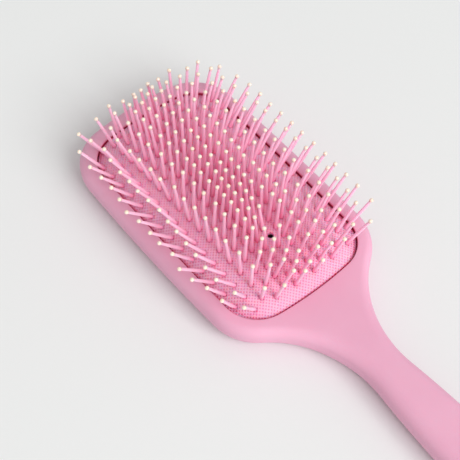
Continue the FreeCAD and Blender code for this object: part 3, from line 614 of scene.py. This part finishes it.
def make_cushion():
    s = Solid()
    edge = pad_loops(0.6, 2.5)
    edge0, edge1, edge2 = edge(0.13), edge(-0.02), edge(-0.30)
    n = len(edge0)
    ztop = lambda q, fall: dome(q[:, 0], q[:, 1]) - fall
    l0 = s.loop(edge0, ztop(edge0, 0.0) * 0 + PAD_EDGE - 0.42)
    l1 = s.loop(edge1, ztop(edge1, 0.0) - 0.16)
    l2 = s.loop(edge2, ztop(edge2, 0.0))
    s.band(l0, l1)
    s.band(l1, l2)
    # fine grid in step with the mesh, so that every pit is really there
    g = CELL / math.sqrt(2) / 2.0
    nx, ny = int(PAD_A / g) + 1, int(PAD_B / g) + 1
    gx, gy = np.meshgrid(np.arange(-nx, nx + 1) * g, np.arange(-ny, ny + 1) * g)
    grid = np.column_stack([gx.ravel(), gy.ravel()])
    keep = inside(edge(-0.70), grid)
    grid = grid[keep]
    hn = 14
    dip = np.zeros(len(grid))
    tops, bots = [], []
    for pin in PINS:
        tops.append(hole_loop(pin, 0.885, DIMPLE + 0.03, hn))
        bots.append(hole_loop(pin, 0.885, SKIN, hn))
        away = np.hypot(grid[:, 0] - tops[-1][:, 0].mean(), grid[:, 1] - tops[-1][:, 1].mean())
        dip = np.maximum(dip, DIMPLE * (1.0 - smooth((away - 0.9) / 0.8)))
        near = away < 2.2
        sub = grid[near]
        d = np.sqrt(((sub[:, None] - tops[-1][None, :, :2]) ** 2).sum(-1)).min(1)
        bad = inside(tops[-1][:, :2], sub) | (d < 0.16)
        idx = np.where(near)[0][bad]
        grid, dip = np.delete(grid, idx, axis=0), np.delete(dip, idx)
    vent = circle(VENT_X, VENT_Y, VENT_R + 0.12, 28)
    vent_in = circle(VENT_X, VENT_Y, VENT_R, 28)
    d = np.hypot(grid[:, 0] - VENT_X, grid[:, 1] - VENT_Y)
    grid, dip = grid[d > VENT_R + 0.5], dip[d > VENT_R + 0.5]
    z = dome(grid[:, 0], grid[:, 1]) - 0.13 * pit_depth(grid[:, 0], grid[:, 1]) - dip
    top_holes = [s.points(t) for t in tops]
    v0 = s.loop(vent, dome(vent[:, 0], vent[:, 1]))
    v1 = s.loop(vent_in, dome(vent_in[:, 0], vent_in[:, 1]) - 0.12)
    vent_low = circle(VENT_X, VENT_Y, 0.88 * VENT_R, 28)
    v2 = s.loop(vent_low, dome(vent_low[:, 0], vent_low[:, 1]) - SKIN)
    s.fill(l2, top_holes + [v0], extra=np.column_stack([grid, z]))
    s.band(v0, v1, flip=True)
    s.band(v1, v2, flip=True)
    # underside
    edge3 = edge(-0.62)
    l3 = s.loop(edge0, PAD_EDGE - SKIN)
    l4 = s.loop(edge3, dome(edge3[:, 0], edge3[:, 1]) - SKIN - 0.02)
    s.band(l0, l3, flip=True)
    s.band(l3, l4, flip=True)
    g = 2.2
    gx, gy = np.meshgrid(np.arange(-27, 28) * g, np.arange(-15, 16) * g)
    under = np.column_stack([gx.ravel(), gy.ravel()])
    under = under[inside(edge(-1.4), under)]
    for b in bots:
        under = under[np.hypot(under[:, 0] - b[:, 0].mean(), under[:, 1] - b[:, 1].mean()) > 1.9]
    under = under[np.hypot(under[:, 0] - VENT_X, under[:, 1] - VENT_Y) > 1.9]
    bot_holes = [s.points(b) for b in bots]
    s.fill(l4, bot_holes + [v2], extra=np.column_stack([under, dome(under[:, 0], under[:, 1]) - SKIN]), up=False)
    for a, b in zip(top_holes, bot_holes):
        s.band(a, b, flip=True)
    return s.build("air_cushion", MAT_PAD, 50.0)


cushion = make_cushion()
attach(cushion, "brush_body")
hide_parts("cushion_pad")

# skirt and clamping flange under the cushion's edge
s = Solid()
loops = []
for o, z in ((-0.10, PAD_EDGE - 0.55), (-0.10, ROOF_Z - 0.02), (2.6, ROOF_Z - 0.02), (2.6, ROOF_Z - 1.5), (-1.5, ROOF_Z - 1.5), (-1.5, PAD_EDGE - 0.55)):
    loops.append(s.loop(mouth(o), z))
for a, b in zip(loops, loops[1:] + loops[:1]):
    s.band(a, b, flip=True)
skirt = s.build("cushion_flange", MAT_PAD)
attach(skirt, "brush_body")
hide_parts("cushion_pad")


# ----------------------------------------------------------------- pins and tips
def lathe(solid, profile, pin, n, bend=0.0):
    """A closed turned solid about a pin's axis. profile: (radius, distance)."""
    d = pin["way"]
    e1 = np.cross(d, [0.0, 1.0, 0.0])
    e1 /= np.linalg.norm(e1)
    e2 = np.cross(d, e1)
    t = np.linspace(0, 2 * math.pi, n, endpoint=False)
    ring_dir = np.cos(t)[:, None] * e1[None] + np.sin(t)[:, None] * e2[None]
    rings = []
    for r, h in profile:
        c = pin["foot"] + d * h
        rings.append(solid.points(c[None] + r * ring_dir) if r > 0 else solid.points(c[None]))
    for a, b in zip(rings[:-1], rings[1:]):
        if len(a) == 1 or len(b) == 1:
            one, many = (a, b) if len(a) == 1 else (b, a)
            for i in range(n):
                j = (i + 1) % n
                tri = (int(many[i]), int(many[j]), int(one[0]))
                solid.f.append(tri if len(b) == 1 else tri[::-1])
        else:
            solid.band(a, b)


PIN_LEN, BALL = 17.0, 0.92
PIN_PROFILE = [(0.0, -3.25), (1.13, -3.25), (1.25, -3.13), (1.25, -2.57), (1.13, -2.45), (0.86, -2.45), (0.80, -2.3), (0.80, -0.5), (0.86, -0.3),
               (0.865, 0.1), (0.86, 0.6), (0.85, 1.2), (0.83, 2.4), (0.79, 5.0), (0.73, 9.0), (0.66, 13.0), (0.62, 15.4), (0.60, 16.4), (0.0, 16.4)]
TIP_PROFILE = [(0.0, -BALL * 1.02)]
for k in range(1, 12):
    a = math.pi * k / 12.0
    r = BALL * math.sin(a)
    h = -BALL * math.cos(a)
    TIP_PROFILE.append((r, h))
TIP_PROFILE.append((0.0, BALL * 1.0))
# the drop runs a little down the pin
TIP_PROFILE = [(0.0, -0.80)] + [(0.585, -1.16), (0.66, -0.92)] + [(r, h) for r, h in TIP_PROFILE[1:] if h > -0.80]

for zone in range(1, 8):
    mine = [p for p in PINS if p["zone"] == zone]
    s = Solid()
    for p in mine:
        lathe(s, PIN_PROFILE, p, 14)
    pins = s.build("pins_%d" % zone, MAT_PIN, 40.0)
    s = Solid()
    for p in mine:
        lathe(s, [(r, PIN_LEN + h) for r, h in TIP_PROFILE], p, 18)
    tips = s.build("tips_%d" % zone, MAT_TIP, 60.0)
    for piece, node, sl in ((pins, "pins_zone_%d" % zone, "pin_nylon"), (tips, "tips_zone_%d" % zone, "tip_resin")):
        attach(piece, "pin_field_%d" % zone if zone < 7 else "brush_body")
        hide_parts(node)

# the clamp ring inside keeps its CAD shape
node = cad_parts["clamp_frame"]
node.data.materials.clear()
node.data.materials.append(MAT_INNER)

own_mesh(cushion)

# ----------------------------------------------------------------- floor, light, camera
mesh = bpy.data.meshes.new("floor")
S = 6.0
mesh.from_pydata([(-S, -S, 0), (S, -S, 0), (S, S, 0), (-S, S, 0)], [], [(0, 1, 2, 3)])
mesh.materials.append(floor_material())
floor = bpy.data.objects.new("floor", mesh)
floor.location = (0, 0, -0.0001)
SC.collection.objects.link(floor)


def area(name, place, target, size, power, colour=(1, 1, 1), size_y=None):
    data = bpy.data.lights.new(name, "AREA")
    data.shape = "RECTANGLE"
    data.size, data.size_y = size, size_y or size
    data.energy = power
    data.color = colour
    o = bpy.data.objects.new(name, data)
    o.location = place
    o.rotation_mode = "QUATERNION"
    o.rotation_quaternion = (Vector(target) - Vector(place)).to_track_quat("-Z", "Y")
    SC.collection.objects.link(o)
    return o


area("key", (3.44, 0.20, 2.75), (0.0, 0.0, 0.0), 2.5, 139.0)
world = bpy.data.worlds.new("studio")
SC.world = world
world.use_nodes = True
bg = world.node_tree.nodes["Background"]
bg.inputs[0].default_value = (1.0, 0.982, 0.968, 1.0)
bg.inputs[1].default_value = 0.60

cam_data = bpy.data.cameras.new("camera")
cam_data.sensor_width = 36.0
cam_data.lens = 90.112
cam_data.clip_start, cam_data.clip_end = 0.01, 20.0
cam = bpy.data.objects.new("camera", cam_data)
R = ((0.63219971, 0.77479469, -0.00408718), (0.64369843, -0.52815216, -0.55381191), (-0.43124918, 0.34748882, -0.83263177))
right, down, ahead = (Vector(r) for r in R)
place = Vector(((222.37698 + PAD_X) / 1000.0, -176.11567 / 1000.0, (401.87959 + 15.0) / 1000.0))
cam.matrix_world = Matrix((
    (right.x, -down.x, -ahead.x, place.x),
    (right.y, -down.y, -ahead.y, place.y),
    (right.z, -down.z, -ahead.z, place.z),
    (0, 0, 0, 1)))
SC.collection.objects.link(cam)
SC.camera = cam
SC.view_settings.view_transform = "Standard"
SC.view_settings.look = "None"
SC.view_settings.exposure = 0.0
SC.view_settings.gamma = 0.88
